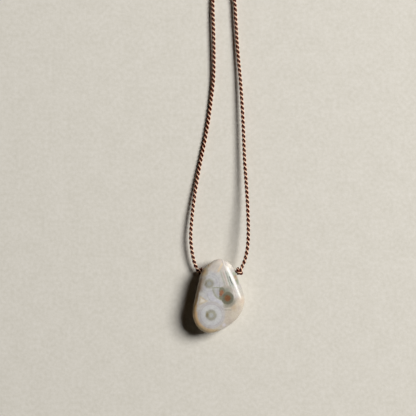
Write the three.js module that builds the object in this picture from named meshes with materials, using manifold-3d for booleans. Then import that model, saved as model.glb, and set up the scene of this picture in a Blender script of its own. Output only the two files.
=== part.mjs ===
// A tumbled and polished drop of ocean jasper, drilled from side to side near its narrow end
// and threaded on a twisted silk cord. A knot on each side of the stone keeps it in its place.
// The stone lies on its back and the cord lies beside and beyond it, put away in a small coil.
// Millimetres. +X runs across the stone, +Y towards its narrow end and +Z up.
// The origin is the middle of the stone's footprint, on the surface that it lies on.

import * as THREE from 'three';
import { mergeVertices } from 'three/addons/utils/BufferGeometryUtils.js';
import Module from 'manifold-3d';

// ---- Driving dimensions -------------------------------------------------------------------

const STONE_THICKNESS = 7.2;
const BORE_DIAMETER = 1.7;
const CORD_DIAMETER = 1.1;
const KNOT_DIAMETER = 2.3;
const KNOT_LENGTH = 2.0;
const END_KNOT_DIAMETER = 3.2;
const END_KNOT_LENGTH = 2.6;
const SEAT_GAP = 0.3;

// The widest outline of the stone, seen from above, counter-clockwise from its narrow end.
const STONE_OUTLINE = [
  [-0.1, 10.75],
  [-2.8, 9.4],
  [-4.8, 7.35],
  [-5.75, 4.5],
  [-6.7, 0.2],
  [-7.45, -3.4],
  [-7.4, -6.3],
  [-6.0, -9.2],
  [-3.4, -10.75],
  [-0.6, -10.4],
  [2.1, -9.2],
  [4.9, -7.1],
  [6.8, -4.4],
  [7.6, -1.4],
  [7.0, 1.4],
  [5.7, 5.1],
  [4.2, 8.2],
  [2.4, 10.05],
];

// The widest outline lies higher on the stone's left than on its right.
const RIM_HEIGHT = 3.9;
const RIM_TILT = 1;

// The front is nearly flat and turns down at its shoulders, which are squarer on the right.
const SHOULDER_POWER = 4.8;
const SHOULDER_CHANGE = 0.7;

// The back is an oval dome, ground flat where it touches the surface.
const BACK_POWER = 2.2;
const BACK_GRIND = 0.25;

// Below the rim the flank is steep, except at the bore's left mouth, where it slants inwards.
const FLANK_SLOPE = THREE.MathUtils.degToRad(85);
const UNDERCUT_SLOPE = THREE.MathUtils.degToRad(58);
const UNDERCUT_FACING = THREE.MathUtils.degToRad(130);

// The bevel is a plane that cuts the upper right shoulder along a straight ridge.
const BEVEL_FACING = THREE.MathUtils.degToRad(26.5);
const BEVEL_SLOPE = THREE.MathUtils.degToRad(42);
const BEVEL_REACH = 6.9;
const BEVEL_HEIGHT = 6.45;
const BEVEL_ROUNDING = 0.9;

// Fineness of the stone's facets.
const STEPS_PER_OUTLINE_POINT = 4;
const FRONT_RINGS = 9;
const BACK_RINGS = 7;

// Knot centres, and the ways the two strands leave their knots.
const KNOT_LEFT = new THREE.Vector3(-5.3, 6.97, 1.8);
const KNOT_RIGHT = new THREE.Vector3(6.25, 7.2, 4.4);
const LEAVE_LEFT = new THREE.Vector3(-0.6, 0.8, 0);
const LEAVE_RIGHT = new THREE.Vector3(0.56, 0.83, 0);

// The coil lies beyond the narrow end. Its two layers of turns fill a flat ring.
const COIL_CENTRE = new THREE.Vector2(-9, 98.6);
const COIL_INNER_RADIUS = 3.5;
const COIL_OUTER_RADIUS = 9.6;
const COIL_HEIGHT = 2.2;
const COIL_ROUNDING = 0.5;
const END_KNOT_OFFSET = new THREE.Vector2(0.6, -0.9);

// Each strand from its knot to the coil, as the middle of the cord.
const STRAND_LEFT = [
  [-6.5, 8.2, 1.98],
  [-7, 9.4, 2.02],
  [-7.55, 11.6, 2.05],
  [-8, 14.5, 2.06],
  [-8.15, 17.4, 2.04],
  [-7.87, 22.1, 1.84],
  [-7.2, 28, 1.36],
  [-6.3, 33.8, 0.93],
  [-5.17, 39.7, 0.66],
  [-3.97, 45.6, 0.6],
  [-2.95, 51.4, 0.6],
  [-2.18, 57.3, 0.62],
  [-1.52, 63.1, 0.86],
  [-1.36, 69, 1.04],
  [-1.42, 74.9, 1.14],
  [-1.59, 80.7, 1.08],
  [-1.68, 86.6, 0.92],
  [-1.5, 91.4, 0.6],
];
const STRAND_RIGHT = [
  [6.92, 8.7, 4.6],
  [7.45, 9.9, 4.82],
  [8.08, 12.2, 5],
  [8.5, 15.1, 4.98],
  [8.62, 18, 4.7],
  [8.6, 22.1, 4.14],
  [8.35, 28, 3.32],
  [7.98, 33.8, 2.72],
  [7.57, 39.7, 2.3],
  [7.35, 45.6, 2.12],
  [7.1, 51.4, 1.98],
  [6.75, 57.3, 1.75],
  [6.35, 63.1, 1.5],
  [5.8, 69, 1.22],
  [5.35, 74.9, 1.1],
  [5, 80.7, 1.12],
  [4.58, 86.6, 1.05],
  [3.3, 90.3, 0.85],
  [1.75, 93.3, 0.66],
  [0.95, 95.1, 0.6],
];
const CORD_SIDES = 8;
const CORD_STEP = 2.6 * CORD_DIAMETER;

// ---- Shared shape functions ---------------------------------------------------------------

const wasm = await Module();
wasm.setup();

function toSolid(geometry) {
  const bare = geometry.clone();
  bare.deleteAttribute('normal');
  bare.deleteAttribute('uv');
  const merged = mergeVertices(bare, 1e-5);
  return new wasm.Manifold(new wasm.Mesh({
    numProp: 3,
    vertProperties: new Float32Array(merged.attributes.position.array),
    triVerts: new Uint32Array(merged.index.array),
  }));
}

function toGeometry(solid) {
  const mesh = solid.getMesh();
  const geometry = new THREE.BufferGeometry();
  geometry.setAttribute('position', new THREE.BufferAttribute(mesh.vertProperties, 3));
  geometry.setIndex(new THREE.BufferAttribute(mesh.triVerts, 1));
  geometry.computeVertexNormals();
  return geometry;
}

function named(name, geometry, material) {
  const mesh = new THREE.Mesh(geometry, material);
  mesh.name = name;
  return mesh;
}

// Turns a shape that is built along its own Y axis to point along a direction.
function pointAlong(mesh, direction) {
  mesh.quaternion.setFromUnitVectors(new THREE.Vector3(0, 1, 0), direction.clone().normalize());
  return mesh;
}

// ---- Stone --------------------------------------------------------------------------------

const jasper = new THREE.MeshStandardMaterial({ color: 0xbdb6b3, roughness: 0.12, metalness: 0 });

// The smaller of two heights, with the crease between them rounded off.
function roundedMin(a, b, rounding) {
  const share = THREE.MathUtils.clamp(0.5 + (0.5 * (b - a)) / rounding, 0, 1);
  return THREE.MathUtils.lerp(b, a, share) - rounding * share * (1 - share);
}

function bevelHeight(x, y) {
  const reach = x * Math.cos(BEVEL_FACING) + y * Math.sin(BEVEL_FACING);
  return BEVEL_HEIGHT - Math.tan(BEVEL_SLOPE) * (reach - BEVEL_REACH);
}

function flankSlope(rim) {
  const turnedAway = Math.atan2(rim.y, rim.x) - UNDERCUT_FACING;
  const undercut = Math.max(0, Math.cos(turnedAway)) ** 3;
  return THREE.MathUtils.lerp(FLANK_SLOPE, UNDERCUT_SLOPE, undercut);
}

// One line of points down the front and round the back, at one place on the outline.
function stoneMeridian(rim) {
  const side = rim.x / Math.hypot(rim.x, rim.y);
  const rimHeight = RIM_HEIGHT - RIM_TILT * side;
  const shoulder = 2 / (SHOULDER_POWER + SHOULDER_CHANGE * side);
  const line = [];
  for (let ring = 1; ring <= FRONT_RINGS; ring += 1) {
    const turn = (0.5 * Math.PI * ring) / FRONT_RINGS;
    const share = Math.sin(turn) ** shoulder;
    const rise = ring === FRONT_RINGS ? 0 : Math.cos(turn) ** shoulder;
    const x = rim.x * share;
    const y = rim.y * share;
    const dome = rimHeight + (STONE_THICKNESS - rimHeight) * rise;
    line.push(new THREE.Vector3(x, y, roundedMin(dome, bevelHeight(x, y), BEVEL_ROUNDING)));
  }
  const depth = rimHeight + BACK_GRIND;
  const slant = Math.tan(flankSlope(rim)) * Math.hypot(rim.x, rim.y);
  const flatTurn = Math.acos((rimHeight / depth) ** (BACK_POWER / 2));
  for (let ring = 1; ring <= BACK_RINGS; ring += 1) {
    const turn = THREE.MathUtils.lerp(0.5 * Math.PI, flatTurn, ring / BACK_RINGS);
    const share = Math.sin(turn) ** (2 / BACK_POWER);
    const drop = Math.min(depth * Math.cos(turn) ** (2 / BACK_POWER), slant * (1 - share));
    const height = ring === BACK_RINGS ? 0 : rimHeight - drop;
    line.push(new THREE.Vector3(rim.x * share, rim.y * share, height));
  }
  return line;
}

function stoneBody() {
  const points = STONE_OUTLINE.map(([x, y]) => new THREE.Vector3(x, y, 0));
  const outline = new THREE.CatmullRomCurve3(points, true, 'catmullrom', 0.5);
  const count = STONE_OUTLINE.length * STEPS_PER_OUTLINE_POINT;
  const meridians = outline.getPoints(count).slice(0, count).map(stoneMeridian);
  const rings = FRONT_RINGS + BACK_RINGS;
  const topHeight = roundedMin(STONE_THICKNESS, bevelHeight(0, 0), BEVEL_ROUNDING);
  const positions = meridians.flat().flatMap((point) => point.toArray());
  positions.push(0, 0, topHeight, 0, 0, 0);
  const top = count * rings;
  const bottom = top + 1;
  const faces = [];
  for (let i = 0; i < count; i += 1) {
    const here = i * rings;
    const next = ((i + 1) % count) * rings;
    faces.push(top, here, next);
    for (let ring = 0; ring < rings - 1; ring += 1) {
      faces.push(here + ring, here + ring + 1, next + ring + 1);
      faces.push(here + ring, next + ring + 1, next + ring);
    }
    faces.push(bottom, next + rings - 1, here + rings - 1);
  }
  const geometry = new THREE.BufferGeometry();
  geometry.setAttribute('position', new THREE.Float32BufferAttribute(positions, 3));
  geometry.setIndex(faces);
  return geometry;
}

function boreCutter() {
  const middle = KNOT_LEFT.clone().lerp(KNOT_RIGHT, 0.5);
  const length = 1.5 * KNOT_LEFT.distanceTo(KNOT_RIGHT);
  const cutter = new THREE.Mesh(
    new THREE.CylinderGeometry(BORE_DIAMETER / 2, BORE_DIAMETER / 2, length, 16),
  );
  pointAlong(cutter, KNOT_RIGHT.clone().sub(KNOT_LEFT));
  cutter.position.copy(middle);
  cutter.updateMatrix();
  return cutter.geometry.applyMatrix4(cutter.matrix);
}

function stone() {
  const drilled = toSolid(stoneBody()).subtract(toSolid(boreCutter()));
  return named('stone', toGeometry(drilled), jasper);
}

// ---- Cord ---------------------------------------------------------------------------------

const silk = new THREE.MeshStandardMaterial({ color: 0x8a4a34, roughness: 0.55, metalness: 0 });

function cordSection() {
  const corners = [];
  for (let i = 0; i < CORD_SIDES; i += 1) {
    const angle = (2 * Math.PI * i) / CORD_SIDES;
    const x = 0.5 * CORD_DIAMETER * Math.cos(angle);
    const y = 0.5 * CORD_DIAMETER * Math.sin(angle);
    corners.push(new THREE.Vector2(x, y));
  }
  return new THREE.Shape(corners);
}

function cordTube(name, points) {
  const route = new THREE.CatmullRomCurve3(points, false, 'centripetal');
  const geometry = new THREE.ExtrudeGeometry(cordSection(), {
    steps: Math.ceil(route.getLength() / CORD_STEP),
    bevelEnabled: false,
    extrudePath: route,
  });
  return named(name, geometry, silk);
}

function strand(name, route) {
  return cordTube(name, route.map(([x, y, z]) => new THREE.Vector3(x, y, z)));
}

function cordInBore() {
  const along = KNOT_RIGHT.clone().sub(KNOT_LEFT).normalize();
  const setback = 0.5 * KNOT_DIAMETER + SEAT_GAP;
  const start = KNOT_LEFT.clone().addScaledVector(along, setback);
  const end = KNOT_RIGHT.clone().addScaledVector(along, -setback);
  const inBore = named(
    'cord_in_bore',
    new THREE.CylinderGeometry(CORD_DIAMETER / 2, CORD_DIAMETER / 2, start.distanceTo(end), CORD_SIDES),
    silk,
  );
  pointAlong(inBore, along);
  inBore.position.copy(start).lerp(end, 0.5);
  return inBore;
}

// The two layers of turns, as the flat ring that they fill.
function cordCoil() {
  const r = COIL_ROUNDING;
  const profile = [
    new THREE.Vector2(COIL_INNER_RADIUS + r, 0),
    new THREE.Vector2(COIL_OUTER_RADIUS - r, 0),
    new THREE.Vector2(COIL_OUTER_RADIUS, r),
    new THREE.Vector2(COIL_OUTER_RADIUS, COIL_HEIGHT - r),
    new THREE.Vector2(COIL_OUTER_RADIUS - r, COIL_HEIGHT),
    new THREE.Vector2(COIL_INNER_RADIUS + r, COIL_HEIGHT),
    new THREE.Vector2(COIL_INNER_RADIUS, COIL_HEIGHT - r),
    new THREE.Vector2(COIL_INNER_RADIUS, r),
    new THREE.Vector2(COIL_INNER_RADIUS + r, 0),
  ];
  const coil = named('cord_coil', new THREE.LatheGeometry(profile, 40), silk);
  pointAlong(coil, new THREE.Vector3(0, 0, 1));
  coil.position.set(COIL_CENTRE.x, COIL_CENTRE.y, 0);
  return coil;
}

// ---- Knots --------------------------------------------------------------------------------

// A tight overhand knot shows as two wraps side by side round the cord.
function knot(name, diameter, length, centre, axis) {
  const wrap = length / 4;
  const profile = [new THREE.Vector2(0, -0.5 * length)];
  for (const middle of [-wrap, wrap]) {
    for (let i = 0; i <= 6; i += 1) {
      const angle = THREE.MathUtils.degToRad(-75 + 25 * i);
      const x = 0.5 * diameter - wrap + wrap * Math.cos(angle);
      profile.push(new THREE.Vector2(x, middle + wrap * Math.sin(angle)));
    }
  }
  profile.push(new THREE.Vector2(0, 0.5 * length));
  const mesh = named(name, new THREE.LatheGeometry(profile, 14), silk);
  pointAlong(mesh, axis);
  mesh.position.copy(centre);
  return mesh;
}

function knotsBesideStone() {
  const along = KNOT_RIGHT.clone().sub(KNOT_LEFT).normalize();
  const axisRight = LEAVE_RIGHT.clone().add(along);
  const axisLeft = LEAVE_LEFT.clone().sub(along);
  return [
    knot('knot_left', KNOT_DIAMETER, KNOT_LENGTH, KNOT_LEFT, axisLeft),
    knot('knot_right', KNOT_DIAMETER, KNOT_LENGTH, KNOT_RIGHT, axisRight),
  ];
}

function endKnot() {
  const place = COIL_CENTRE.clone().add(END_KNOT_OFFSET);
  const centre = new THREE.Vector3(place.x, place.y, 0.5 * END_KNOT_DIAMETER + 0.05);
  const axis = new THREE.Vector3(1, 0, 0);
  return knot('end_knot', END_KNOT_DIAMETER, END_KNOT_LENGTH, centre, axis);
}

// ---- The whole object ---------------------------------------------------------------------

const group = new THREE.Group();
group.add(stone());
group.add(cordInBore());
group.add(...knotsBesideStone());
group.add(strand('cord_left', STRAND_LEFT));
group.add(strand('cord_right', STRAND_RIGHT));
group.add(cordCoil());
group.add(endKnot());

export default group;
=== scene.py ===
import math

import bpy
import numpy as np
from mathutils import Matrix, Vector


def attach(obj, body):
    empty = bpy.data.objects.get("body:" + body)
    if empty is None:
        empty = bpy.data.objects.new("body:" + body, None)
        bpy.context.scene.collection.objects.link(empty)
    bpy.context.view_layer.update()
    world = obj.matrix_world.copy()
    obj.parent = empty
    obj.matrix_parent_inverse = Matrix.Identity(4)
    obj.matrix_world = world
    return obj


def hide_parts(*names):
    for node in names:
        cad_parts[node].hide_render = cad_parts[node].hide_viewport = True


# A tumbled drop of ocean jasper on a two-ply silk cord, laid flat on a sheet of paper.
# Metres. The CAD frame: +X across the stone, +Y towards its narrow end, +Z up off the paper.

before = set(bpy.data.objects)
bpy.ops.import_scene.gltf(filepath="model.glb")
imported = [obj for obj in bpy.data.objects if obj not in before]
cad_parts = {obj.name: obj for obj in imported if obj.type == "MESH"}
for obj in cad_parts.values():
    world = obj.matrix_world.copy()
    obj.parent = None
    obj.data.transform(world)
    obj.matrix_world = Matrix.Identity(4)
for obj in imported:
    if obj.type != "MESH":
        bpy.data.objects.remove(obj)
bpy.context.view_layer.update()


# ---- Camera ------------------------------------------------------------------------------------
# A copy stand holds a camera with a long lens straight above the drop. Its view takes in the drop
# and the lower part of both strands of the cord.

MM = 0.001
VIEW_WIDTH = 121.9 * MM
VIEW_CENTRE = (-3.1 * MM, 25.6 * MM)
STAND_HEIGHT = 0.8
SENSOR = 36

lens = bpy.data.cameras.new("copy_stand_lens")
lens.sensor_width = SENSOR
lens.lens = SENSOR * STAND_HEIGHT / VIEW_WIDTH
lens.clip_start = 0.05
lens.clip_end = 10
camera = bpy.data.objects.new("copy_stand_camera", lens)
camera.location = (*VIEW_CENTRE, STAND_HEIGHT)
bpy.context.collection.objects.link(camera)
bpy.context.scene.camera = camera


# ---- Cord: its line ----------------------------------------------------------------------------
# One length of twisted silk beading cord, 1.1 mm thick, goes through the stone and is knotted at
# each mouth of the bore. The left strand lies near the paper, and the right one comes down to it.
# The rest of both is wound up together in a flat coil, and their ends are tied in its middle.

CORD = 1.1 * MM
BORE_LEFT = np.array((-0.0053, 0.00697, 0.0018))
BORE_RIGHT = np.array((0.00625, 0.0072, 0.0044))

STRAND_LEFT = [
    (-0.0065, 0.0082, 0.00198),
    (-0.007, 0.0094, 0.00202),
    (-0.00755, 0.0116, 0.00205),
    (-0.008, 0.0145, 0.00206),
    (-0.00815, 0.0174, 0.00204),
    (-0.00787, 0.0221, 0.00184),
    (-0.0072, 0.028, 0.00136),
    (-0.0063, 0.0338, 0.00093),
    (-0.00517, 0.0397, 0.00066),
    (-0.00397, 0.0456, 0.0006),
    (-0.00295, 0.0514, 0.0006),
    (-0.00218, 0.0573, 0.00062),
    (-0.00152, 0.0631, 0.00086),
    (-0.00136, 0.069, 0.00104),
    (-0.00142, 0.0749, 0.00114),
    (-0.00159, 0.0807, 0.00108),
    (-0.00168, 0.0866, 0.00092),
    (-0.0015, 0.0914, 0.0006),
]
STRAND_RIGHT = [
    (0.00692, 0.0087, 0.0046),
    (0.00745, 0.0099, 0.00482),
    (0.00808, 0.0122, 0.005),
    (0.0085, 0.0151, 0.00498),
    (0.00862, 0.018, 0.0047),
    (0.0086, 0.0221, 0.00414),
    (0.00835, 0.028, 0.00332),
    (0.00798, 0.0338, 0.00272),
    (0.00757, 0.0397, 0.0023),
    (0.00735, 0.0456, 0.00212),
    (0.0071, 0.0514, 0.00198),
    (0.00675, 0.0573, 0.00175),
    (0.00635, 0.0631, 0.0015),
    (0.0058, 0.069, 0.00122),
    (0.00535, 0.0749, 0.0011),
    (0.005, 0.0807, 0.00112),
    (0.00458, 0.0866, 0.00105),
    (0.0033, 0.0903, 0.00085),
    (0.00175, 0.0933, 0.00066),
    (0.00095, 0.0951, 0.0006),
]

COIL_CENTRE = np.array((-0.009, 0.0986, 0.0006))
COIL_RADIUS = 7.9 * MM
COIL_TURNS = 3.3
LAP = 1.16 * MM  # from one turn's middle to the next one's
CLIMB_START = math.radians(290)  # where the second strand climbs onto the first
CLIMB_END = math.radians(360)
NESTED = math.radians(60)  # it then lies in the groove between two turns
HOLE_BEND = 2.3 * MM
TURN_STEPS = 40
BEND_STEPS = 26
SPAN_STEPS = 24


def unit(way):
    """The same way, or ways, with a length of one."""
    return way / np.linalg.norm(way, axis=-1, keepdims=True)


def distance_along(points):
    """How far along the line each of its points is."""
    return np.r_[0, np.cumsum(np.linalg.norm(np.diff(points, axis=0), axis=1))]


def evenly(points, count):
    """The same line as so many points, with equal gaps."""
    along = distance_along(points)
    stops = np.linspace(0, along[-1], count)
    return np.stack([np.interp(stops, along, axis) for axis in points.T], 1)


def spans(start, leave, end, arrive, steps):
    """One curved span from each start to its end, with the headings that it leaves and arrives in."""
    t = np.linspace(0, 1, steps, endpoint=False)[:, None, None]
    curve = (
        (2 * t**3 - 3 * t**2 + 1) * start
        + (t**3 - 2 * t**2 + t) * leave
        + (3 * t**2 - 2 * t**3) * end
        + (t**3 - t**2) * arrive
    )
    return curve.transpose(1, 0, 2).reshape(-1, start.shape[1])


def curve_through(points, step):
    """A smooth curve through the points, in equal steps."""
    points = np.asarray(points, float)
    line = np.vstack([2 * points[0] - points[1], points, 2 * points[-1] - points[-2]])
    gap = np.sqrt(np.linalg.norm(np.diff(line, axis=0), axis=1))[:, None]
    slope = np.diff(line, axis=0) / gap
    wide = (line[2:] - line[:-2]) / (gap[:-1] + gap[1:])
    heading = slope[:-1] - wide + slope[1:]
    leave = heading[:-1] * gap[1:-1]
    arrive = heading[1:] * gap[1:-1]
    dense = np.vstack([spans(line[1:-2], leave, line[2:-1], arrive, SPAN_STEPS), points[-1]])
    return evenly(dense, math.ceil(distance_along(dense)[-1] / step) + 1)


def eased(x):
    """From 0 to 1 with a soft start and end."""
    x = np.clip(x, 0, 1)
    return x * x * (3 - 2 * x)


def coil_lines():
    """Both strands from where they reach the coil to where they turn into its hole."""
    angle = np.linspace(0, 2 * math.pi * COIL_TURNS, int(TURN_STEPS * COIL_TURNS))
    outward = np.stack([np.cos(angle), np.sin(angle), 0 * angle], 1)
    first = COIL_CENTRE + (COIL_RADIUS - LAP * angle / (2 * math.pi))[:, None] * outward
    # The bend into the hole goes on turning the same way until it heads along +X.
    towards_x = 2 * math.pi * (math.floor(COIL_TURNS) + 0.75)
    bend = np.linspace(angle[-1], towards_x, BEND_STEPS)[1:]
    bend_out = np.stack([np.cos(bend), np.sin(bend), 0 * bend], 1)
    bend_middle = first[-1] - HOLE_BEND * outward[-1]
    first = np.vstack([first, bend_middle + HOLE_BEND * bend_out])
    outward = np.vstack([outward, bend_out])
    climb = NESTED * eased((angle - CLIMB_START) / (CLIMB_END - CLIMB_START))
    over = NESTED + (0.5 * math.pi - NESTED) * eased(np.linspace(0, 1, len(bend)))
    climb = np.r_[climb, over][:, None]
    up = np.array((0, 0, 1))
    return first, first + LAP * (np.cos(climb) * outward + np.sin(climb) * up)


def overhand_knot():
    """An overhand knot along X, tied loosely and drawn up until the cord presses on itself.
    It is measured in thicknesses of its cord."""
    beads, rounds = 90, 1500
    loose = 0.72  # the knot starts as an open trefoil of three times this radius
    first_pull, last_pull = 0.5, 0.01
    same_stretch = 1.2  # beads nearer than this along the cord can't press on each other
    give = 0.2  # how much of an overlap is mended at a time

    turn = np.linspace(0, 2 * math.pi, 400)
    ring = loose * (2 + np.cos(3 * turn))
    loop = [ring * np.sin(2 * turn), -ring * np.cos(2 * turn), loose * np.sin(3 * turn)]
    loop = np.stack(loop, 1)
    end_way = np.array((6, 0, 3)) / math.hypot(6, 3)
    end_length = np.linspace(3, 0.1, 60)[:, None]
    apart = np.array((0, 0, 0.5))
    first_end = loop[0] - end_length * end_way + apart
    last_end = loop[-1] + end_length[::-1] * end_way - apart
    line = evenly(np.vstack([first_end, loop, last_end]), beads)

    # Each round pulls the line straighter, and then pushes apart the beads that overlap.
    for count in range(rounds):
        pull = first_pull * (1 - count / rounds) + last_pull
        for _ in range(2):
            line[1:-1] += pull * (0.5 * (line[:-2] + line[2:]) - line[1:-1])
        if count % 4 == 0:
            line = evenly(line, beads)
        if count % 20 == 0:
            bead_gap = np.linalg.norm(np.diff(line, axis=0), axis=1).mean()
            a, b = np.triu_indices(beads, math.ceil(same_stretch / bead_gap))
        for _ in range(4):
            across = line[b] - line[a]
            distance = np.linalg.norm(across, axis=1)
            hit = distance < 1
            if not hit.any():
                break
            shove = give * (1 / distance[hit] - 1)[:, None] * across[hit]
            move = [
                np.bincount(b[hit], shove[:, c], beads) - np.bincount(a[hit], shove[:, c], beads)
                for c in range(3)
            ]
            line[1:-1] += np.stack(move, 1)[1:-1]
    body = line - 0.5 * (line[0] + line[-1])
    x = unit(line[-1] - line[0])
    y = unit(np.cross(x, (0, 0, 1)))
    z = np.cross(x, y)
    return np.stack([body @ x, body @ y, body @ z], 1)


KNOT_SHAPE = overhand_knot()
KNOT_TAILS = 1.15  # how far the knot's own line is kept to each side of its middle


def knot_line(centre, axis, roll, thickness):
    """The knot's line, set on an axis and rolled about it, for a cord of that thickness."""
    kept = np.abs(KNOT_SHAPE[:, 0]) < KNOT_TAILS
    first, last = np.flatnonzero(kept)[[0, -1]]
    line = KNOT_SHAPE[first : last + 1 : 2]
    middle = 0.5 * (line.min(0) + line.max(0))
    x = unit(np.asarray(axis, float))
    y = unit(np.cross((0, 0, 1), x))
    z = np.cross(x, y)
    c, s = math.cos(roll), math.sin(roll)
    turned = np.stack([x, c * y + s * z, c * z - s * y])
    return np.asarray(centre) + thickness * (line - middle) @ turned


# The knots are drawn up hard, which squeezes the soft cord in them. The axis of each lies between
# the bore's way and the way that its strand leaves in.
KNOT_SIZE = 0.78 * MM
KNOT_CORD = 0.96 * MM
KNOT_LEFT = np.array((-0.00505, 0.0071, 0.00185))
KNOT_RIGHT = np.array((0.00578, 0.0071, 0.0044))
LEAVE_LEFT = np.array((-0.6, 0.8, 0))
LEAVE_RIGHT = np.array((0.56, 0.83, 0))
FINE_STEP = 0.1 * MM

bore_way = unit(BORE_RIGHT - BORE_LEFT)
axis_left = bore_way - LEAVE_LEFT
axis_right = bore_way + LEAVE_RIGHT
left_knot = knot_line(KNOT_LEFT, axis_left, roll=math.radians(200), thickness=KNOT_SIZE)
right_knot = knot_line(KNOT_RIGHT, axis_right, roll=math.radians(20), thickness=KNOT_SIZE)

# The end knot is tied in both ends at once, side by side, and two short tails come out of it.
END_KNOT = COIL_CENTRE + np.array((0.0008, -0.0009, 0.00088))
TAILS = END_KNOT + np.array([(0.0019, 0.0001, -0.0003), (0.003, 0.0003, -0.0007)])
PAIR_CORD = 0.66 * MM
PAIR_SIZE = 0.95 * MM
TAIL_GAP = 0.8 * CORD
CLOSING = 0.12  # the two ends close up over this share of their line
OPENING = 0.1  # and the tails spread over this last share
PAIR_START = 4  # the first of the pair's steps that guide the cord
PAIR_SKIP = 3

coil_first, coil_second = coil_lines()
coil_end = 0.5 * (coil_first[-1] + coil_second[-1])
end_knot_line = knot_line(END_KNOT, (1, 0, 0), roll=math.radians(90), thickness=PAIR_SIZE)
pair_line = curve_through(np.vstack([coil_end, end_knot_line, TAILS]), FINE_STEP)


def carried_along(line, start):
    """A direction across the line that follows it without twisting round it."""
    way = unit(np.gradient(line, axis=0))
    across = np.empty_like(line)
    now = np.asarray(start, float)
    for i, ahead in enumerate(way):
        now = unit(now - (now @ ahead) * ahead)
        across[i] = now
    return way, across


pair_across = carried_along(pair_line, (0, 0, 1))[1]
pair_at = np.linspace(0, 1, len(pair_line))[:, None]
pair_gap = LAP + (PAIR_CORD - LAP) * eased(pair_at / CLOSING)
pair_gap += (TAIL_GAP - PAIR_CORD) * eased((pair_at - (1 - OPENING)) / OPENING)
pair_first = pair_line - 0.5 * pair_gap * pair_across
pair_second = pair_line + 0.5 * pair_gap * pair_across

# The whole cord, from one tail to the other. Three points keep it to the middle of the bore.
bore_points = [BORE_LEFT + share * (BORE_RIGHT - BORE_LEFT) for share in (0.12, 0.5, 0.87)]
whole = curve_through(
    np.vstack(
        [
            pair_first[: PAIR_START - 1 : -PAIR_SKIP],
            coil_first[::-1],
            STRAND_LEFT[::-1],
            left_knot,
            *bore_points,
            right_knot,
            STRAND_RIGHT,
            coil_second,
            pair_second[PAIR_START::PAIR_SKIP],
        ]
    ),
    FINE_STEP,
)


def nearest(point, start=0, end=None):
    """The step of the whole cord, between a start and an end, that lies nearest to a point."""
    return start + int(np.argmin(np.linalg.norm(whole[start:end] - point, axis=1)))


half = nearest(0.5 * (BORE_LEFT + BORE_RIGHT))
left_pair = nearest(coil_first[-1], end=half)
left_strand = nearest(STRAND_LEFT[0], end=half)
left_mouth = nearest(left_knot[-1], end=half)
right_mouth = nearest(right_knot[0], start=half)
right_strand = nearest(STRAND_RIGHT[0], start=half)
right_pair = nearest(coil_second[-1], start=half)
last_step = len(whole) - 1

# Thickness along the cord: full on the strands and in the bore, squeezed in the knots. The tips
# of the tails are full again, and every change is spread over a millimetre and a half.
FULL_TIP = 12  # steps of the whole cord
SPREAD_STEPS = 7
thickness = np.full(len(whole), CORD)
for start, end, squeezed in (
    (nearest(left_knot[0], end=half), left_mouth, KNOT_CORD),
    (right_mouth, nearest(right_knot[-1], start=half), KNOT_CORD),
    (FULL_TIP, left_pair - FULL_TIP, PAIR_CORD),
    (right_pair + FULL_TIP, len(whole) - FULL_TIP, PAIR_CORD),
):
    thickness[start:end] = squeezed
window = np.hanning(2 * SPREAD_STEPS + 1)
padded = np.pad(thickness, SPREAD_STEPS, mode="edge")
thickness = np.convolve(padded, window / window.sum(), mode="valid")

whole_way, whole_across = carried_along(whole, (0, 0, 1))
whole_aside = np.cross(whole_way, whole_across)
travelled = distance_along(whole)

# Two plies, laid up with an S twist: they run from upper left to lower right.
PLIES = 2
LAY_LENGTH = 2.75 * MM
PLY_SIDES = 14
PLY_CROWDING = 0.3  # more of its sides are on the crown than where it meets the other ply
PLY_RADIUS = 0.52  # of half the cord's thickness
PLY_OFFSET = 0.48  # from the cord's middle, in the same measure
PLY_PRESSED = 0.16  # of its radius, where it lies against the other ply
round_at = 2 * math.pi * np.arange(PLY_SIDES) / PLY_SIDES - math.pi
round_at = round_at - PLY_CROWDING * np.sin(round_at)


def ply_rings(kept, ply):
    """The rings of points round one ply, one at each kept step of the cord."""
    turn = 2 * math.pi * (ply / PLIES - travelled[kept] / LAY_LENGTH)[:, None]
    out = np.cos(turn) * whole_across[kept] + np.sin(turn) * whole_aside[kept]
    radius = 0.5 * thickness[kept][:, None]
    middle = whole[kept] + PLY_OFFSET * radius * out
    way = unit(np.gradient(middle, axis=0))
    out = unit(out - (out * way).sum(1, keepdims=True) * way)
    aside = np.cross(way, out)
    reach = PLY_RADIUS * (1 - PLY_PRESSED * (0.5 - 0.5 * np.cos(round_at)) ** 2)
    outward = radius * (reach * np.cos(round_at))
    sideways = radius * (reach * np.sin(round_at))
    ring = middle[:, None] + outward[..., None] * out[:, None]
    return ring + sideways[..., None] * aside[:, None]


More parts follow.
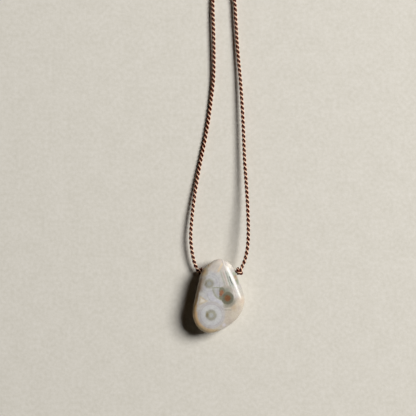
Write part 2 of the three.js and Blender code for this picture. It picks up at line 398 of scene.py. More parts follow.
def plied_mesh(name, ranges):
    """Both plies of the cord over one or more stretches of it, as closed tubes. The yarn map
    holds the way along the cord in mm and the share of the way round the ply."""
    points, faces, maps = [], [], []
    first = 0
    for start, end, skip in ranges:
        kept = np.r_[start:end:skip, end]
        rings = len(kept)
        u = travelled[kept] / MM
        v = np.arange(PLY_SIDES + 1) / PLY_SIDES
        i, k = np.meshgrid(np.arange(rings - 1), np.arange(PLY_SIDES), indexing="ij")
        corners = [(i, k), (i, k + 1), (i + 1, k + 1), (i + 1, k)]
        side_map = np.stack([np.stack([u[r], v[c]], -1) for r, c in corners], 2).reshape(-1, 2)
        for ply in range(PLIES):
            points.append(ply_rings(kept, ply).reshape(-1, 3))
            a = first + i * PLY_SIDES + k
            b = first + i * PLY_SIDES + (k + 1) % PLY_SIDES
            faces += np.stack([a, b, b + PLY_SIDES, a + PLY_SIDES], -1).reshape(-1, 4).tolist()
            maps.append(side_map)
            last_ring = first + (rings - 1) * PLY_SIDES
            faces.append(list(range(first, first + PLY_SIDES))[::-1])
            faces.append(list(range(last_ring, last_ring + PLY_SIDES)))
            maps += [np.repeat([[u[ring], 0.5]], PLY_SIDES, axis=0) for ring in (0, -1)]
            first += rings * PLY_SIDES
    mesh = bpy.data.meshes.new(name)
    mesh.from_pydata(np.vstack(points).tolist(), [], faces)
    yarn = mesh.uv_layers.new(name="yarn")
    yarn.uv.foreach_set("vector", np.vstack(maps).astype(np.float32).ravel())
    mesh.shade_smooth()
    piece = bpy.data.objects.new(name, mesh)
    bpy.context.collection.objects.link(piece)
    return piece


# ---- Cord: its silk ----------------------------------------------------------------------------
# Filament silk, twisted and then dyed copper brown. Its colour holds painted shade, dark red-brown
# between the plies, and a painted sheen, pale on their crowns, under a low satin shine that breaks up
# along the filaments.


def linear(colour):
    """An sRGB hex colour as the linear values that a shader takes."""
    parts = [int(colour[i : i + 2], 16) / 255 for i in (1, 3, 5)]
    return (*[c / 12.92 if c <= 0.04045 else ((c + 0.055) / 1.055) ** 2.4 for c in parts], 1)


def new_material(name):
    """A material without any nodes yet."""
    material = bpy.data.materials.new(name)
    material.use_nodes = True
    material.node_tree.nodes.clear()
    return material


def add(material, kind, inputs, out=0, stops=(), **settings):
    """Adds a node with its settings, and returns one of its outputs. Each input, by name or
    number, is the output of another node, a value or a colour. Stops are a ramp's colours."""
    tree = material.node_tree
    node = tree.nodes.new("ShaderNode" + kind)
    for name, value in settings.items():
        setattr(node, name, value)
    for key, value in inputs.items():
        if isinstance(value, bpy.types.NodeSocket):
            tree.links.new(value, node.inputs[key])
        else:
            node.inputs[key].default_value = linear(value) if isinstance(value, str) else value
    if stops:
        while len(node.color_ramp.elements) < len(stops):
            node.color_ramp.elements.new(0.5)
        for element, (place, colour) in zip(node.color_ramp.elements, stops):
            element.position = place
            element.color = linear(colour)
    return node.outputs[out] if node.outputs else None


FILAMENT_LINES = 30  # round one ply; the real filaments are too fine to show, so these are coarser
FILAMENT_RUN = 1.2  # mm along the ply before a line ends
UNEVEN_DYE = 0.3

silk = new_material("dyed_filament_silk_two_ply")
yarn = add(silk, "UVMap", {}, uv_map="yarn")
along = add(silk, "SeparateXYZ", {0: yarn}, "X")
around = add(silk, "SeparateXYZ", {0: yarn}, "Y")
along = add(silk, "Math", {0: along, 1: FILAMENT_RUN}, operation="DIVIDE")
lines = add(silk, "Math", {0: around, 1: FILAMENT_LINES}, operation="MULTIPLY")
lines = add(silk, "CombineXYZ", {"X": along, "Y": lines})
filaments = add(silk, "TexNoise", {"Vector": lines, "Scale": 1, "Detail": 3, "Roughness": 0.6})
turned = add(silk, "Math", {0: around, 1: 0.5}, operation="SUBTRACT")
turned = add(silk, "Math", {0: turned, 1: 2 * math.pi}, operation="MULTIPLY")
# Painted light: the crown of each ply is painted pale as sheen, and its sides dark as the shade
# between the plies.
crown = add(silk, "Math", {0: turned}, operation="COSINE")
uneven = add(silk, "Math", {0: filaments, 1: 0.5}, operation="SUBTRACT")
dye_and_painted_light = add(silk, "Math", {0: uneven, 1: UNEVEN_DYE, 2: crown}, operation="MULTIPLY_ADD")
silk_colour = add(
    silk,
    "ValToRGB",
    {"Fac": dye_and_painted_light},
    stops=[(0.25, "#480c00"), (0.62, "#803008"), (0.8, "#d49769"), (0.94, "#fee3cb")],
)
silk_relief = add(silk, "Bump", {"Strength": 0.35, "Distance": 0.02 * MM, "Height": filaments})
silk_shader = add(
    silk,
    "BsdfPrincipled",
    {
        "Base Color": silk_colour,
        "Roughness": 0.6,
        "IOR": 1.54,
        "Specular IOR Level": 0.1,
        "Normal": silk_relief,
    },
)
add(silk, "OutputMaterial", {"Surface": silk_shader})

# The knots keep every step of the line, and the gentler stretches every second one.
cord_left = plied_mesh("silk_cord_left", [(left_pair, left_strand, 2)])
cord_right = plied_mesh("silk_cord_right", [(right_strand, right_pair, 2)])
knot_left = plied_mesh("overhand_knot_left", [(left_strand, left_mouth, 1)])
knot_right = plied_mesh("overhand_knot_right", [(right_mouth, right_strand, 1)])
in_bore = plied_mesh("silk_cord_in_bore", [(left_mouth, right_mouth, 2)])
both_ends = [(0, left_pair, 1), (right_pair, last_step, 1)]
end_knot = plied_mesh("end_knot_with_tails", both_ends)
for piece, *nodes in (
    (cord_left, "cord_left", "cord_coil"),
    (cord_right, "cord_right"),
    (knot_left, "knot_left"),
    (knot_right, "knot_right"),
    (in_bore, "cord_in_bore"),
    (end_knot, "end_knot"),
):
    piece.data.materials.append(silk)
    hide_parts(*nodes)
    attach(piece, "root")


# ---- Stone: its shape --------------------------------------------------------------------------
# Ocean jasper is a silica rock full of small round orbs. This piece was tumbled to a drop, given a
# flat facet on one shoulder, polished, and drilled from side to side near its narrow end. Its own
# sizes are in mm, and its mesh turns them to metres.

STONE_THICKNESS = 7.2
OUTLINE = [
    (-0.1, 10.75),
    (-2.8, 9.4),
    (-4.8, 7.35),
    (-5.75, 4.5),
    (-6.7, 0.2),
    (-7.45, -3.4),
    (-7.4, -6.3),
    (-6.0, -9.2),
    (-3.4, -10.75),
    (-0.6, -10.4),
    (2.1, -9.2),
    (4.9, -7.1),
    (6.8, -4.4),
    (7.6, -1.4),
    (7.0, 1.4),
    (5.7, 5.1),
    (4.2, 8.2),
    (2.4, 10.05),
]
RIM_HEIGHT = 3.9
RIM_TILT = 1  # the rim is this much lower on the right and higher on the left
SHOULDER_POWER = 4.8  # 2 is a round shoulder, and more is a squarer one
SHOULDER_CHANGE = 0.7
BACK_POWER = 2.2
BACK_GRIND = 0.25  # ground off the back, which leaves the flat that the stone lies on
FLANK = math.radians(85)
UNDERCUT = math.radians(58)  # the flank slants inwards below the bore's left mouth
UNDERCUT_FACING = math.radians(130)
UNDERCUT_NARROWING = 3
BEVEL_FACING = math.radians(26.5)
BEVEL_SLOPE = math.radians(42)
BEVEL_REACH = 6.9
BEVEL_HEIGHT = 6.45
BEVEL_ROUNDING = 0.9
OUTLINE_STEPS = 18
FRONT_RINGS = 44
BACK_RINGS = 28


def rounded_min(a, b, rounding):
    """The lower of two heights, with the edge between them rounded off."""
    share = np.clip(0.5 + 0.5 * (b - a) / rounding, 0, 1)
    return b + (a - b) * share - rounding * share * (1 - share)


def bevel_height(x, y):
    """The height of the facet's plane."""
    reach = x * math.cos(BEVEL_FACING) + y * math.sin(BEVEL_FACING)
    return BEVEL_HEIGHT - math.tan(BEVEL_SLOPE) * (reach - BEVEL_REACH)


def smooth_outline():
    """A closed smooth curve through the outline's points."""
    start = np.array(OUTLINE)
    before, end, beyond = np.roll(start, 1, 0), np.roll(start, -1, 0), np.roll(start, -2, 0)
    return spans(start, 0.5 * (end - before), end, 0.5 * (beyond - start), OUTLINE_STEPS)


def stone_mesh():
    """The tumbled drop in rings: from the middle of its front, over the rim, to its back."""
    rim = smooth_outline()
    far = np.linalg.norm(rim, axis=1)
    side = rim[:, 0] / far
    rim_height = RIM_HEIGHT - RIM_TILT * side

    shoulder = 2 / (SHOULDER_POWER + SHOULDER_CHANGE * side)
    turn = 0.5 * math.pi * np.arange(1, FRONT_RINGS + 1)[:, None] / FRONT_RINGS
    share = np.sin(turn) ** shoulder
    rise = np.maximum(np.cos(turn), 0) ** shoulder
    rise[-1] = 0
    x, y = rim[:, 0] * share, rim[:, 1] * share
    dome = rim_height + (STONE_THICKNESS - rim_height) * rise
    front = np.stack([x, y, rounded_min(dome, bevel_height(x, y), BEVEL_ROUNDING)], -1)

    depth = rim_height + BACK_GRIND
    facing = np.arctan2(rim[:, 1], rim[:, 0])
    undercut = np.maximum(0, np.cos(facing - UNDERCUT_FACING)) ** UNDERCUT_NARROWING
    slant = np.tan(FLANK + (UNDERCUT - FLANK) * undercut) * far
    flat = np.arccos((rim_height / depth) ** (BACK_POWER / 2))
    at = np.arange(1, BACK_RINGS + 1)[:, None] / BACK_RINGS
    turn = 0.5 * math.pi + (flat - 0.5 * math.pi) * at
    share = np.sin(turn) ** (2 / BACK_POWER)
    drop = np.minimum(depth * np.cos(turn) ** (2 / BACK_POWER), slant * (1 - share))
    z = rim_height - drop
    z[-1] = 0
    back = np.stack([rim[:, 0] * share, rim[:, 1] * share, z], -1)

    rings = np.concatenate([front, back])
    top = float(rounded_min(np.array(STONE_THICKNESS), bevel_height(0, 0), BEVEL_ROUNDING))
    points = np.vstack([rings.reshape(-1, 3), (0, 0, top), (0, 0, 0)]) * MM
    count, middle = len(rim), len(points)
    i, k = np.meshgrid(np.arange(len(rings) - 1), np.arange(count), indexing="ij")
    a, b = i * count + k, i * count + (k + 1) % count
    faces = np.stack([a, a + count, b + count, b], -1).reshape(-1, 4).tolist()
    k = np.arange(count)
    lowest = (len(rings) - 1) * count
    faces += np.stack([np.full(count, middle - 2), k, (k + 1) % count], -1).tolist()
    low_faces = [np.full(count, middle - 1), lowest + (k + 1) % count, lowest + k]
    faces += np.stack(low_faces, -1).tolist()
    mesh = bpy.data.meshes.new("ocean_jasper_drop")
    mesh.from_pydata(points.tolist(), [], faces)
    return mesh


stone = bpy.data.objects.new("ocean_jasper_drop", stone_mesh())
bpy.context.collection.objects.link(stone)

# One straight cylinder drills the bore, and its mouths and the ground back keep sharp edges.
BORE = 1.7 * MM
SHARP_EDGE = math.radians(50)
bpy.ops.mesh.primitive_cylinder_add(vertices=64, radius=BORE / 2, depth=30 * MM)
drill = bpy.context.object
drill.rotation_mode = "QUATERNION"
drill.rotation_quaternion = Vector((0, 0, 1)).rotation_difference(Vector(bore_way))
drill.location = 0.5 * (BORE_LEFT + BORE_RIGHT)
bore_cut = stone.modifiers.new("bore", "BOOLEAN")
bore_cut.object = drill
bore_cut.solver = "EXACT"
bore_cut.operation = "DIFFERENCE"
bpy.context.view_layer.update()
drilled = stone.evaluated_get(bpy.context.evaluated_depsgraph_get())
drilled = bpy.data.meshes.new_from_object(drilled)
stone.modifiers.clear()
stone.data = drilled
bpy.data.objects.remove(drill, do_unlink=True)
drilled.shade_smooth()
drilled.set_sharp_from_angle(angle=SHARP_EDGE)


# ---- Stone: its rock ---------------------------------------------------------------------------
# Chalcedony that grew in thin shells round many seeds, then was cut and tumbled to a soft wet
# shine. The eye sees pale lavender and beige shells round olive and red-brown hearts, and the
# polish gives one long streak of light along the facet's edge. All distances are in mm.

WAVER_SCALE = 0.55  # bends the shells about once in 2 mm
WAVER = 0.4
RIPPLE_SCALE = 1.7  # and ripples their edges about once in 0.6 mm
RIPPLE = 0.3
GROUND_SCALE = 0.3  # one cloud of the ground in about 3 mm
CELL = 0.26  # orbs a millimetre on the sides and back: one in about 4 mm
POLISH_SCALE = 1.3  # one hollow left by the tumbling in about 0.8 mm
ABOVE_STONE = 20 * MM

jasper = new_material("polished_orbicular_jasper")
place = add(jasper, "TexCoord", {}, "Object")
place = add(jasper, "VectorMath", {0: place, "Scale": 1 / MM}, operation="SCALE")
rock_at = place
for scale, reach in ((WAVER_SCALE, WAVER), (RIPPLE_SCALE, RIPPLE)):
    waver = add(jasper, "TexNoise", {"Vector": place, "Scale": scale, "Detail": 3}, "Color")
    waver = add(jasper, "VectorMath", {0: waver, 1: (0.5, 0.5, 0.5)}, operation="SUBTRACT")
    waver = add(jasper, "VectorMath", {0: waver, "Scale": reach}, operation="SCALE")
    rock_at = add(jasper, "VectorMath", {0: rock_at, 1: waver}, operation="ADD")


# The sockets of a node that mixes two colours, one over the other.
SHARE, UNDER, OVER, MIXED = 0, 6, 7, 2


def inside(edges, mask=1.0):
    """1 where the rock is inside all the edges, and 0 outside. An edge is a way across the
    stone, and how far along it the inside starts and where it is full."""
    for way, start, full in edges:
        along_way = add(jasper, "VectorMath", {0: rock_at, 1: way}, "Value", operation="DOT_PRODUCT")
        limits = {"Value": along_way, "From Min": start, "From Max": full}
        edge = add(jasper, "MapRange", limits, interpolation_type="SMOOTHSTEP")
        mask = add(jasper, "Math", {0: mask, 1: edge}, operation="MULTIPLY")
    return mask


def patch(rock, colour, edges):
    """A patch of one colour laid into the rock."""
    laid = {SHARE: inside(edges), UNDER: rock, OVER: colour}
    return add(jasper, "Mix", laid, MIXED, data_type="RGBA")


def bands(rock, way, layers, edges):
    """Straight layers, each with how far along the way it lies and its colour."""
    first, last = layers[0][0], layers[-1][0]
    along_way = add(jasper, "VectorMath", {0: rock_at, 1: way}, "Value", operation="DOT_PRODUCT")
    share = add(jasper, "MapRange", {"Value": along_way, "From Min": first, "From Max": last})
    stops = [((far - first) / (last - first), colour) for far, colour in layers]
    layered = add(jasper, "ValToRGB", {"Fac": share}, stops=stops)
    laid = {SHARE: inside(edges), UNDER: rock, OVER: layered}
    return add(jasper, "Mix", laid, MIXED, data_type="RGBA")


def orb(rock, x, y, shells, edges=(), stretch=(1, 1), soft=0.15):
    """An orb whose middle is on the stone's front. Its shells are a radius and a colour each,
    and the last one is where the orb ends."""
    z = stone.ray_cast((x * MM, y * MM, ABOVE_STONE), (0, 0, -1))[1].z / MM
    away = add(jasper, "VectorMath", {0: rock_at, 1: (x, y, z)}, operation="SUBTRACT")
    shrink = (1 / stretch[0], 1 / stretch[1], 1)
    away = add(jasper, "VectorMath", {0: away, 1: shrink}, operation="MULTIPLY")
    radius = add(jasper, "VectorMath", {0: away}, "Value", operation="LENGTH")
    end = shells[-1][0]
    share = add(jasper, "Math", {0: radius, 1: end}, operation="DIVIDE")
    stops = [(r / end, colour) for r, colour in shells]
    grown = add(jasper, "ValToRGB", {"Fac": share}, stops=stops)
    limits = {"Value": radius, "From Min": end, "From Max": end - soft}
    mask = inside(edges, add(jasper, "MapRange", limits, interpolation_type="SMOOTHSTEP"))
    laid = {SHARE: mask, UNDER: rock, OVER: grown}
    return add(jasper, "Mix", laid, MIXED, data_type="RGBA")


# Up is towards the narrow end, and the other ways are from the facet, the layers and the painted dark
# reflection.
RIGHT, LEFT = (1, 0, 0), (-1, 0, 0)
UP, DOWN = (0, 1, 0), (0, -1, 0)
OFF_FACET, ALONG_FACET = (0.917, 0.4, 0), (0.4, -0.917, 0)
ACROSS_STREAK, ALONG_STREAK = (0.878, -0.479, 0), (0.479, 0.878, 0)
ACROSS_LAYERS = (0.95, 0.31, 0)
ACROSS_DARK_REFLECTION, ALONG_DARK_REFLECTION = (0.93, 0.37, 0), (0.37, -0.93, 0)
OFF_LEFT_FLANK = (-0.978, 0.21, 0)
FRONT = ((0, 0, 1), 4.6, 5.6)  # the edge of what shows on the front only

# The ground lies between a cool white and a warm one: cool in the middle, warm at both ends.
clouds = add(jasper, "TexNoise", {"Vector": rock_at, "Scale": GROUND_SCALE, "Detail": 5})
rock = add(
    jasper,
    "ValToRGB",
    {"Fac": clouds},
    stops=[(0.35, "#c9c9ca"), (0.5, "#cdcbc8"), (0.65, "#cec6bd")],
)
rock = patch(rock, "#cec6bd", [(UP, 5.8, 8)])
# Painted light: a paler glow at the narrow end, where the streak of light begins.
rock = patch(rock, "#dbd0c3", [(UP, 8.6, 10.4), (RIGHT, -1.5, 0.5)])
rock = orb(rock, 2, 6.9, [(0, "#ddd6ce"), (1.5, "#d6cfc7")], soft=1.1)

# One tan streak runs from the upper orb to the narrow end.
streak = [(ACROSS_STREAK, -4, -3.7), (ACROSS_STREAK, -3.1, -3.4), (ALONG_STREAK, 5.9, 6.3), FRONT]
rock = patch(rock, "#decdb4", streak)

# The right side is darker and warmer towards the broad end and greyer on the facet, and the tip of
# the broad end is paler. At the narrow end, beside the top of the facet, a paler patch is painted
# light.
rock = patch(rock, "#cbc1b2", [((0.8, -0.6, 0), 3.2, 5), (DOWN, -1, 1)])
rock = patch(rock, "#b6b3ab", [(OFF_FACET, 5, 6)])
rock = patch(rock, "#c4bbad", [(OFF_FACET, 5, 6), (DOWN, -2, 1)])
# Painted light: the glow round the top of the streak of light, on the narrow end.
rock = patch(rock, "#e4ddd3", [(UP, 7, 9), (RIGHT, 1.6, 2.8)])
rock = patch(rock, "#dcd6cd", [(ALONG_FACET, 8.2, 9.6)])

# Small soft clouds: warm and grey ones right of the red orbs and below them, and a pale lavender
# one near the tip of the broad end.
rock = orb(rock, 4.6, -1.5, [(0, "#c2baad"), (1.2, "#c2baad")], soft=1)
rock = orb(rock, 2.2, -3.1, [(0, "#b5b2a6"), (1.2, "#bcb8ae")], stretch=(1.5, 0.7), soft=1)
rock = orb(rock, 4.4, -3.2, [(0, "#c9b79c"), (1.9, "#cbbca8")], soft=1.9)
rock = orb(rock, 6.7, -1.6, [(0, "#d2c3b0"), (2.2, "#d2c3b0")], soft=2)
rock = orb(rock, 1.6, -8.35, [(0, "#dcd7d8"), (0.95, "#d3cdcc")], soft=0.7)

# The rind of the nodule is tan along the lower left. Along the upper left edge by the bore, the rock
# is painted brown as shade, where that edge turns away from the light.
rock = patch(rock, "#e2be92", [((-0.75, -0.66, 0), 7.35, 8.4)])
rock = patch(rock, "#d4be99", [((-0.2, -0.98, 0), 9.2, 10.1)])
# Painted shade: brown along the upper left edge by the bore.
rock = patch(rock, "#a68a63", [((-0.53, 0.85, 0), 8.3, 9.2), (LEFT, 1.2, 3.4)])

# Sides and back: orbs of many sizes. A quarter of the cells stay plain, nearly half have an olive
# heart and the rest a red one. They start at the rim, which is lower on the right.
BELOW_RIM = ((0.13, 0, 1), 4.1, 3.2)
CELL_END, CELL_SOLID = 0.62, 0.5
cells = {"Vector": rock_at, "Scale": CELL, "Randomness": 0.85}
spread = add(jasper, "TexVoronoi", cells, "Distance")
kind = add(jasper, "SeparateColor", {0: add(jasper, "TexVoronoi", cells, "Color")}, "Red")
olive_orbs = [
    (0.0, "#aeb0ac"),
    (0.12, "#a9aaa2"),
    (0.2, "#969282"),
    (0.28, "#a09d90"),
    (0.36, "#c8c8c7"),
    (0.46, "#c4c2c1"),
    (0.5, "#b9b4b1"),
    (0.56, "#cac6c3"),
]
red_orbs = [
    (0.0, "#7c583e"),
    (0.12, "#82603f"),
    (0.19, "#77705b"),
    (0.31, "#7f7a68"),
    (0.37, "#b8b3a6"),
    (0.43, "#c9c5c0"),
    (0.47, "#bfb8b3"),
    (0.55, "#c9c3bd"),
]
for shells, start, full in ((olive_orbs, 0.25, 0.3), (red_orbs, 0.68, 0.72)):
    grown = add(jasper, "ValToRGB", {"Fac": spread}, stops=shells)
    limits = {"Value": spread, "From Min": CELL_END, "From Max": CELL_SOLID}
    near = add(jasper, "MapRange", limits, interpolation_type="SMOOTHSTEP")
    limits = {"Value": kind, "From Min": start, "From Max": full}
    chosen = add(jasper, "MapRange", limits, interpolation_type="SMOOTHSTEP")
    chosen = add(jasper, "Math", {0: near, 1: chosen}, operation="MULTIPLY")
    laid = {SHARE: inside([BELOW_RIM], chosen), UNDER: rock, OVER: grown}
    rock = add(jasper, "Mix", laid, MIXED, data_type="RGBA")

# Green, pink and grey layers stand on edge beside the facet. A thin dark line among them, beside the
# streak of light, is a painted reflection of the window's dark frame.
low_layers = [
    (3.9, "#c5c0ba"),
    (4.2, "#c6bfb8"),
    (4.48, "#e0d9d0"),
    (4.77, "#c5beb6"),
    (5.05, "#d8d0ca"),
    (5.3, "#cfc8c1"),
]
low_edges = [(ACROSS_LAYERS, 3.9, 4.2), (ACROSS_LAYERS, 5.4, 5.1), (UP, -0.8, 0.2), FRONT]
rock = bands(rock, ACROSS_LAYERS, low_layers, low_edges)
high_layers = [
    (2.2, "#cac8c4"),
    (2.75, "#b5b5a8"),
    (3.05, "#cac7c1"),
    (3.4, "#c3b4a9"),
    (3.75, "#dad5cf"),
    (4.15, "#a0a798"),
    (4.4, "#c6c7c1"),
    (5.0, "#b4bbae"),
    (5.3, "#c0bbb7"),
]
high_edges = [(ACROSS_LAYERS, 2.2, 2.7), (UP, 1.6, 3.4), (UP, 8, 6.4), FRONT]
rock = bands(rock, ACROSS_LAYERS, high_layers, high_edges)
# Painted reflection: the window's dark frame, seen in the polish beside the streak of light.
dark_reflection_sides = [(ACROSS_DARK_REFLECTION, 4.74, 4.92), (ACROSS_DARK_REFLECTION, 5.2, 5.02)]
dark_reflection_ends = [(ALONG_DARK_REFLECTION, -4.6, -3.9), (ALONG_DARK_REFLECTION, -1.4, -2.1)]
rock = patch(rock, "#5d6260", [*dark_reflection_sides, *dark_reflection_ends, FRONT])

# The facet cuts through green and brown layers, and one grey line lies below the red orbs.
cut_layers = [
    (-4.8, "#a5ab9c"),
    (-3.9, "#9ba18e"),
    (-3.3, "#a48d75"),
    (-2.7, "#ac9d85"),
    (-2.0, "#868c79"),
    (-1.0, "#a2a394"),
    (-0.3, "#b8b4a9"),
]
cut_sides = [(OFF_FACET, 6.1, 6.4), (OFF_FACET, 7.2, 6.9)]
cut_ends = [(ALONG_FACET, -5, -4.5), (ALONG_FACET, -0.2, -0.9)]
rock = bands(rock, ALONG_FACET, cut_layers, [*cut_sides, *cut_ends])
grey_line = [(UP, -4.3, -4.05), (UP, -3.75, -3.95), (RIGHT, 0.6, 1.3), (RIGHT, 4.1, 3.4), FRONT]
rock = patch(rock, "#afa89c", grey_line)

# The upper orb: an olive ring, darker on its left, round a blue-grey heart.
upper_shells = [
    (0, "#a9aba8"),
    (0.4, "#a9aba5"),
    (0.8, "#a19f92"),
    (1.1, "#a4a296"),
    (1.5, "#bcbcb9"),
    (1.9, "#c6c6c7"),
    (2.3, "#c0bfbf"),
    (2.6, "#cacacb"),
    (3.05, "#bfbebd"),
    (3.3, "#c8c8c7"),
    (3.9, "#c8c8c7"),
]
rock = orb(rock, -2.75, 3.62, upper_shells, soft=0.9)
crescent = [(0, "#8a8676"), (0.8, "#938f80")]
rock = orb(rock, -3.75, 3.7, crescent, stretch=(0.6, 1.3), soft=0.7)
# Painted shade: the rock left of the upper orb is darkened towards the stone's left edge.
rock = orb(rock, -4.3, 5.2, [(0, "#a9a59b"), (1.4, "#aca89e")], stretch=(0.8, 1.3), soft=1.2)

# A fan of lavender shells, which grew over the upper orb and was cut off by the red ones.
fan_shells = [
    (0, "#bdbcc0"),
    (1.7, "#b4b2b2"),
    (2.5, "#bbbabb"),
    (2.95, "#b4b4ae"),
    (3.2, "#a8a89a"),
    (3.42, "#a7a799"),
    (3.7, "#c9c9cb"),
    (4.4, "#cccbd1"),
    (5.0, "#c8c8cb"),
    (5.35, "#b8b6b7"),
    (5.6, "#cacaca"),
    (5.9, "#cacaca"),
]
fan_low = [(DOWN, -1.4, -0.4), (RIGHT, 1.6, 0.6)]
fan_high = [(UP, 2.62, 2.42), (RIGHT, 1.6, 0.6)]
rock = orb(rock, 1.65, 2.2, fan_shells, fan_low, soft=0.5)
rock = orb(rock, 1.65, 2.2, fan_shells[:7], fan_high, soft=0.3)
fan_top = [(UP, 2.25, 2.42), (UP, 2.75, 2.55), (RIGHT, -2, -1.6), (RIGHT, 0.6, 0.2), FRONT]
rock = patch(rock, "#a0a192", fan_top)

# The lower orb, whose olive ring is yellow on its left and almost lost on its right.
lower_shells = [
    (0, "#b2b3b2"),
    (0.5, "#b2b3af"),
    (0.85, "#a6a495"),
    (1.35, "#a6a497"),
    (1.8, "#c8c8c6"),
    (2.2, "#cecece"),
    (2.95, "#cbcbcb"),
    (3.2, "#bdb8b8"),
    (3.4, "#c8c5c4"),
    (3.75, "#c1bdba"),
    (3.95, "#c9c6c3"),
    (4.3, "#c9c6c3"),
]
rock = orb(rock, -2.15, -5.5, lower_shells, soft=0.6)
crescent = [(0, "#867e5f"), (1, "#928b7a")]
rock = orb(rock, -3.35, -5.4, crescent, stretch=(0.7, 1.4), soft=0.9)
rock = orb(rock, -2.0, -5.6, [(0, "#b4b6b6"), (0.7, "#b3b4b0")], soft=0.3)

# The two orbs with an iron-red heart and a dark olive ring, and the olive haze above them.
haze_shells = [
    (0, "#92978a"),
    (0.6, "#a3a598"),
    (1.2, "#b6b0a3"),
    (2, "#c0bbb1"),
]
rock = orb(rock, 2.2, 1.5, haze_shells, [(RIGHT, 0.6, 1.4)], stretch=(1.2, 1), soft=0.8)
oval_shells = [
    (0, "#9b7054"),
    (0.6, "#9a7056"),
    (0.85, "#8e826e"),
    (1.0, "#848370"),
    (1.35, "#898876"),
    (1.6, "#a5a497"),
]
rock = orb(rock, 0.87, 0.82, oval_shells, [(RIGHT, 0, 0.3)], stretch=(0.85, 1.27), soft=0.25)
fringe = [(0, "#9a9789"), (2.1, "#a09c8e"), (2.9, "#b3aa9d")]
rock = orb(rock, 2.6, -0.8, fringe, [(DOWN, 0.4, 1.6), (RIGHT, 0.9, 2)], soft=0.8)
round_shells = [
    (0, "#7f583b"),
    (0.78, "#80593d"),
    (1.02, "#776d58"),
    (1.2, "#74715f"),
    (1.55, "#767465"),
    (1.85, "#868576"),
    (2.05, "#a3a195"),
]
rock = orb(rock, 2.59, -0.6, round_shells, stretch=(0.94, 1), soft=0.25)

# Where three orbs meet, a corner of yellow jasper is left between them.
corner_sides = [((0.569, 0.822, 0), -3.0), ((0.371, -0.928, 0), 0.15), ((-0.991, 0.132, 0), 5.45)]
rock = patch(rock, "#cdc1ac", [*[(way, far + 0.3, far - 0.1) for way, far in corner_sides], FRONT])
rock = patch(rock, "#e9e2d4", [*[(way, far - 0.05, far - 0.6) for way, far in corner_sides], FRONT])

# Browner and darker along the left flank, over the orbs that it cuts, with a paler line along the
# very edge outside it.
rind = [
    (-4.6, "#d0b089"),
    (-2.6, "#a3885f"),
    (0, "#806a50"),
    (2.5, "#8f7c67"),
    (4.5, "#93816d"),
    (7.5, "#9c8468"),
]
border = [(OFF_LEFT_FLANK, 4.2, 6), (UP, 0.4, 1.8), (DOWN, -6.4, -4.6)]
rock = patch(rock, "#a3937f", border)
rock = bands(rock, UP, rind, [(OFF_LEFT_FLANK, 5.5, 5.95), (UP, -3.9, -2.9)])
rock = patch(rock, "#c9a87c", [(OFF_LEFT_FLANK, 5.2, 5.8), (UP, -6.2, -5), (DOWN, 2, 3.2)])
rock = patch(rock, "#917041", [(OFF_LEFT_FLANK, 5.85, 6.4), (UP, -5.6, -4.6), (DOWN, 1.6, 2.6)])
rock = patch(rock, "#a68d6c", [(OFF_LEFT_FLANK, 6.3, 6.5), (UP, -3.6, -1.6)])
# Painted shade: browner and darker round the bore's left mouth, under the edge that turns from the
# light.
painted_shade_by_the_bore = [
    (0, "#917354"),
    (0.45, "#9f8668"),
    (0.95, "#b39c79"),
    (1.4, "#ac9f8a"),
    (1.8, "#b0a89a"),
    (2.4, "#c0bcb5"),
]
rock = orb(rock, -4.7, 7.2, painted_shade_by_the_bore, stretch=(0.95, 1.1), soft=0.8)

# Clouds of a half and of one and a half millimetres, a few shades deep, as all chalcedony has.
for scale, dark, light in ((0.7, "#b0aeb3", "#c7c8c4"), (2.1, "#b2b2af", "#c5c4c6")):
    cloud = add(jasper, "TexNoise", {"Vector": place, "Scale": scale, "Detail": 3})
    cloud = add(jasper, "ValToRGB", {"Fac": cloud}, stops=[(0.35, dark), (0.65, light)])
    shaded = {SHARE: 1.0, UNDER: rock, OVER: cloud}
    rock = add(jasper, "Mix", shaded, MIXED, data_type="RGBA", blend_type="SOFT_LIGHT")

polish = add(jasper, "TexNoise", {"Vector": place, "Scale": POLISH_SCALE, "Detail": 2})
polish = add(jasper, "Bump", {"Strength": 0.5, "Distance": 0.012 * MM, "Height": polish})
jasper_shader = add(
    jasper,
    "BsdfPrincipled",
    {
        "Base Color": rock,
        "Roughness": 0.31,
        "IOR": 1.54,
        "Specular IOR Level": 0.45,
        "Normal": polish,
    },
)
add(jasper, "OutputMaterial", {"Surface": jasper_shader})
drilled.materials.append(jasper)
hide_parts("stone")
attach(stone, "root")


# ---- Paper -------------------------------------------------------------------------------------
# The sheet of warm white paper that the drop lies on. It is uncoated and was pressed on a felt, so
# the eye sees no shine, faint felt marks of about a millimetre, and broad clouds in the pulp.

bpy.ops.mesh.primitive_plane_add(size=3)
paper_sheet = bpy.context.object
paper_sheet.name = "paper_sheet"

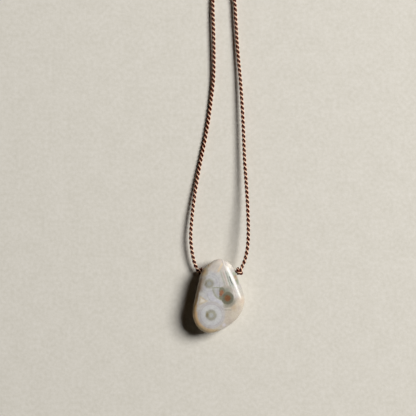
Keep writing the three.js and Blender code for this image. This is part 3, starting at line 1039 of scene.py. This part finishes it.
FELT_SCALE = 0.9  # a mark in about 1.1 mm
PULP_SCALE = 0.18  # a cloud in about 5.5 mm
PULP_DEPTH = 0.35  # against 1 for the felt marks
paper = new_material("uncoated_felt_marked_paper")
sheet_place = add(paper, "TexCoord", {}, "Object")
sheet_place = add(paper, "VectorMath", {0: sheet_place, "Scale": 1 / MM}, operation="SCALE")
fibres = {"Vector": sheet_place, "Scale": FELT_SCALE, "Detail": 4, "Roughness": 0.6}
fibres = add(paper, "TexNoise", fibres)
pulp = add(paper, "TexNoise", {"Vector": sheet_place, "Scale": PULP_SCALE, "Detail": 2})
tone = add(paper, "Math", {0: pulp, 1: PULP_DEPTH, 2: fibres}, operation="MULTIPLY_ADD")
paper_colour = add(
    paper, "ValToRGB", {"Fac": tone}, stops=[(0.475, "#dad6cb"), (0.875, "#e5e1d8")]
)
paper_relief = add(paper, "Bump", {"Strength": 0.25, "Distance": 0.1 * MM, "Height": fibres})
paper_shader = add(
    paper,
    "BsdfPrincipled",
    {"Base Color": paper_colour, "Roughness": 0.9, "Normal": paper_relief},
)
add(paper, "OutputMaterial", {"Surface": paper_shader})
paper_sheet.data.materials.append(paper)


# ---- Light -------------------------------------------------------------------------------------
# One window on the right, 46 degrees up, gives nearly all the light. It fills 24 degrees as seen
# from the stone, so the shadows start clear and soften as they run out. The room gives back only a
# trace of warm light.

LIGHT_AZIMUTH, LIGHT_ELEVATION = math.radians(25), math.radians(46)
LIGHT_DISTANCE = 1.6
LIGHT_SPREAD = math.radians(12)  # half of the angle that the window fills, seen from the stone
lamp = bpy.data.lights.new("window_light", "AREA")
lamp.shape = "SQUARE"
lamp.size = 2 * LIGHT_DISTANCE * math.tan(LIGHT_SPREAD)
lamp.energy = 32
lamp.color = (1, 0.985, 0.965)
window_light = bpy.data.objects.new("window_light", lamp)
toward = Vector(
    (
        math.cos(LIGHT_AZIMUTH) * math.cos(LIGHT_ELEVATION),
        math.sin(LIGHT_AZIMUTH) * math.cos(LIGHT_ELEVATION),
        math.sin(LIGHT_ELEVATION),
    )
)
window_light.location = toward * LIGHT_DISTANCE
window_light.rotation_mode = "QUATERNION"
window_light.rotation_quaternion = toward.to_track_quat("Z", "Y")
bpy.context.collection.objects.link(window_light)

room = bpy.data.worlds.new("room")
room.use_nodes = True
walls = room.node_tree.nodes["Background"]
walls.inputs["Color"].default_value = (1, 0.72, 0.45, 1)
walls.inputs["Strength"].default_value = 0.005
bpy.context.scene.world = room
bpy.context.scene.view_settings.view_transform = "Standard"
